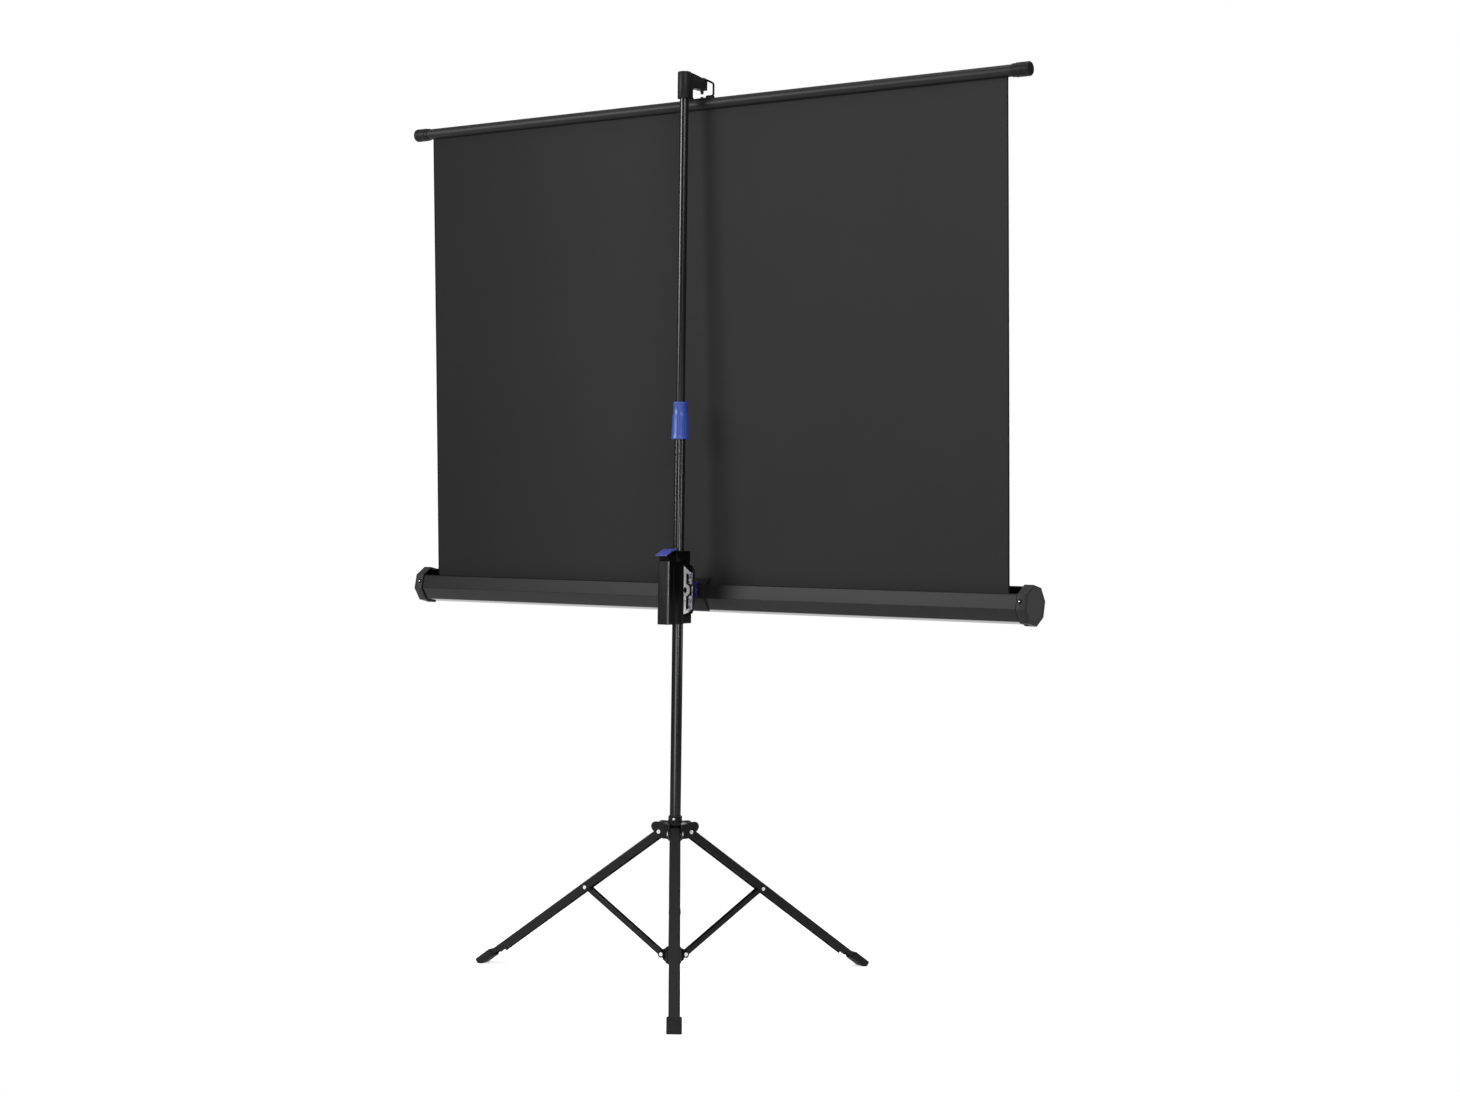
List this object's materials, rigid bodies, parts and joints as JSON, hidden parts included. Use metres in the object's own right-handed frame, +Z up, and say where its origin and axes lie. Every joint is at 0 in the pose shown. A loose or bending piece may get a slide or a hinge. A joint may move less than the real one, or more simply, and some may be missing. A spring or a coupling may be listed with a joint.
{
  "type": "tripod projector screen",
  "caption": "Projection screen drawn up from an octagonal case, held by a telescopic mast on a folding tripod with rubber feet.",
  "frame": {"origin": "on the floor, under the middle of the bounding box, a little in front of the mast", "axes": "+Z up; the screen's width along X; its projection side faces -Y, the mast stands behind it"},
  "size_m": [1.5466, 0.8352, 1.8624],
  "materials": {
    "black_paint": "satin black stove enamel",
    "black_plastic": "moulded, fine grain",
    "case_paint": "dark grey satin paint",
    "screen_cloth": "black backing of a projection fabric",
    "roller_steel": "bare tube",
    "blue_plastic": "moulded",
    "plated_steel": "zinc plated",
    "black_rubber": "moulded"
  },
  "bodies": {
    "mast": {"foot_hub": "black_plastic", "mast_lower_tube": "black_paint", "lock_ferrule": "black_plastic", "lock_collet": "black_plastic", "screen_fabric": "screen_cloth"},
    "leg_slider": {"leg_hub": "black_plastic", "hub_lock_screw": "plated_steel"},
    "leg_1": {"leg_1": "black_paint", "foot_1": "black_rubber", "hub_rivet_1": "plated_steel", "leg_rivet_1": "plated_steel"},
    "leg_2": {"leg_2": "black_paint", "foot_2": "black_rubber", "hub_rivet_2": "plated_steel", "leg_rivet_2": "plated_steel"},
    "leg_3": {"leg_3": "black_paint", "foot_3": "black_rubber", "hub_rivet_3": "plated_steel", "leg_rivet_3": "plated_steel"},
    "brace_1": {"brace_1": "black_paint", "foot_rivet_1": "plated_steel"},
    "brace_2": {"brace_2": "black_paint", "foot_rivet_2": "plated_steel"},
    "brace_3": {"brace_3": "black_paint", "foot_rivet_3": "plated_steel"},
    "upper_mast": {"mast_upper_tube": "black_paint", "mast_head": "black_plastic", "top_bar": "black_paint", "top_bar_cap_left": "black_plastic", "top_bar_cap_right": "black_plastic", "bar_hanger": "black_plastic"},
    "bail": {"bar_bail": "black_paint"},
    "lock": {"lock_nut": "blue_plastic"},
    "carriage": {"carriage_body": "black_plastic", "pivot_bracket": "plated_steel", "pivot_washer": "plated_steel", "pivot_plate": "black_paint", "pivot_bolt": "plated_steel", "case_saddle": "black_plastic", "case_shell": "case_paint", "case_end_cap_left": "black_plastic", "case_end_cap_right": "black_plastic", "end_cap_screw_1": "plated_steel", "end_cap_screw_2": "plated_steel", "end_cap_screw_3": "plated_steel", "end_cap_screw_4": "plated_steel", "lever_pin": "plated_steel", "catch_pin": "plated_steel"},
    "lever": {"height_lever": "blue_plastic"},
    "catch": {"case_catch": "blue_plastic"},
    "roller": {"roller_tube": "roller_steel", "roller_plug_left": "black_plastic", "roller_plug_right": "black_plastic"}
  },
  "joints": [
    {"name": "hub_slide", "type": "slide", "parent": "mast", "child": "leg_slider", "axis": [0, 0, 1], "range_m": [0, 0.18833]},
    {"name": "leg_1_fold", "type": "hinge", "parent": "leg_slider", "child": "leg_1", "pos_m": [-0.01804, 0.05265, 0.313], "axis": [-0.799, -0.6014, 0], "range_deg": [0, 54.1]},
    {"name": "leg_2_fold", "type": "hinge", "parent": "leg_slider", "child": "leg_2", "pos_m": [0.02978, 0.03232, 0.313], "axis": [-0.1213, 0.9926, 0], "range_deg": [0, 54.1]},
    {"name": "leg_3_fold", "type": "hinge", "parent": "leg_slider", "child": "leg_3", "pos_m": [-0.01174, 0.00107, 0.313], "axis": [0.9203, -0.3912, 0], "range_deg": [0, 54.1]},
    {"name": "brace_1_fold", "type": "hinge", "parent": "leg_1", "child": "brace_1", "pos_m": [-0.12529, 0.19513, 0.18381], "axis": [-0.799, -0.6014, 0], "range_deg": [-109, 0]},
    {"name": "brace_2_fold", "type": "hinge", "parent": "leg_2", "child": "brace_2", "pos_m": [0.20679, 0.05396, 0.18381], "axis": [-0.1213, 0.9926, 0], "range_deg": [-109, 0]},
    {"name": "brace_3_fold", "type": "hinge", "parent": "leg_3", "child": "brace_3", "pos_m": [-0.0815, -0.16305, 0.18381], "axis": [0.9203, -0.3912, 0], "range_deg": [-109, 0]},
    {"name": "mast_extend", "type": "slide", "parent": "mast", "child": "upper_mast", "axis": [0, 0, 1], "range_m": [-0.55, 0.05], "deforming": ["screen_fabric"]},
    {"name": "bail_swing", "type": "hinge", "parent": "upper_mast", "child": "bail", "pos_m": [-0.01372, -0.01355, 1.8161], "axis": [1, 0, 0], "range_deg": [0, 110]},
    {"name": "lock_turn", "type": "hinge", "parent": "mast", "child": "lock", "pos_m": [0, 0.02868, 1.1147], "axis": [0, 0, 1], "range_deg": [0, 60]},
    {"name": "carriage_slide", "type": "slide", "parent": "mast", "child": "carriage", "axis": [0, 0, 1], "range_m": [-0.18, 0.22]},
    {"name": "lever_press", "type": "hinge", "parent": "carriage", "child": "lever", "pos_m": [0, 0.04918, 0.8832], "axis": [-1, 0, 0], "range_deg": [0, 10], "stiffness_Nm_per_rad": 0.05, "springref_deg": -5.73},
    {"name": "catch_press", "type": "hinge", "parent": "carriage", "child": "catch", "pos_m": [-0.0135, -0.01252, 0.8077], "axis": [1, 0, 0], "range_deg": [0, 7], "stiffness_Nm_per_rad": 0.02, "springref_deg": -5.73},
    {"name": "roller_turn", "type": "hinge", "parent": "carriage", "child": "roller", "pos_m": [0, -0.06022, 0.7977], "axis": [1, 0, 0], "continuous": true}
  ],
  "couplings": [
    {"joint": "leg_1_fold", "follows": "hub_slide", "rad_per_m": 5.0043},
    {"joint": "leg_2_fold", "follows": "hub_slide", "rad_per_m": 5.0043},
    {"joint": "leg_3_fold", "follows": "hub_slide", "rad_per_m": 5.0043},
    {"joint": "brace_1_fold", "follows": "hub_slide", "rad_per_m": -10.094},
    {"joint": "brace_2_fold", "follows": "hub_slide", "rad_per_m": -10.094},
    {"joint": "brace_3_fold", "follows": "hub_slide", "rad_per_m": -10.094},
    {"joint": "roller_turn", "follows": "mast_extend", "rad_per_m": 81.967}
  ]
}
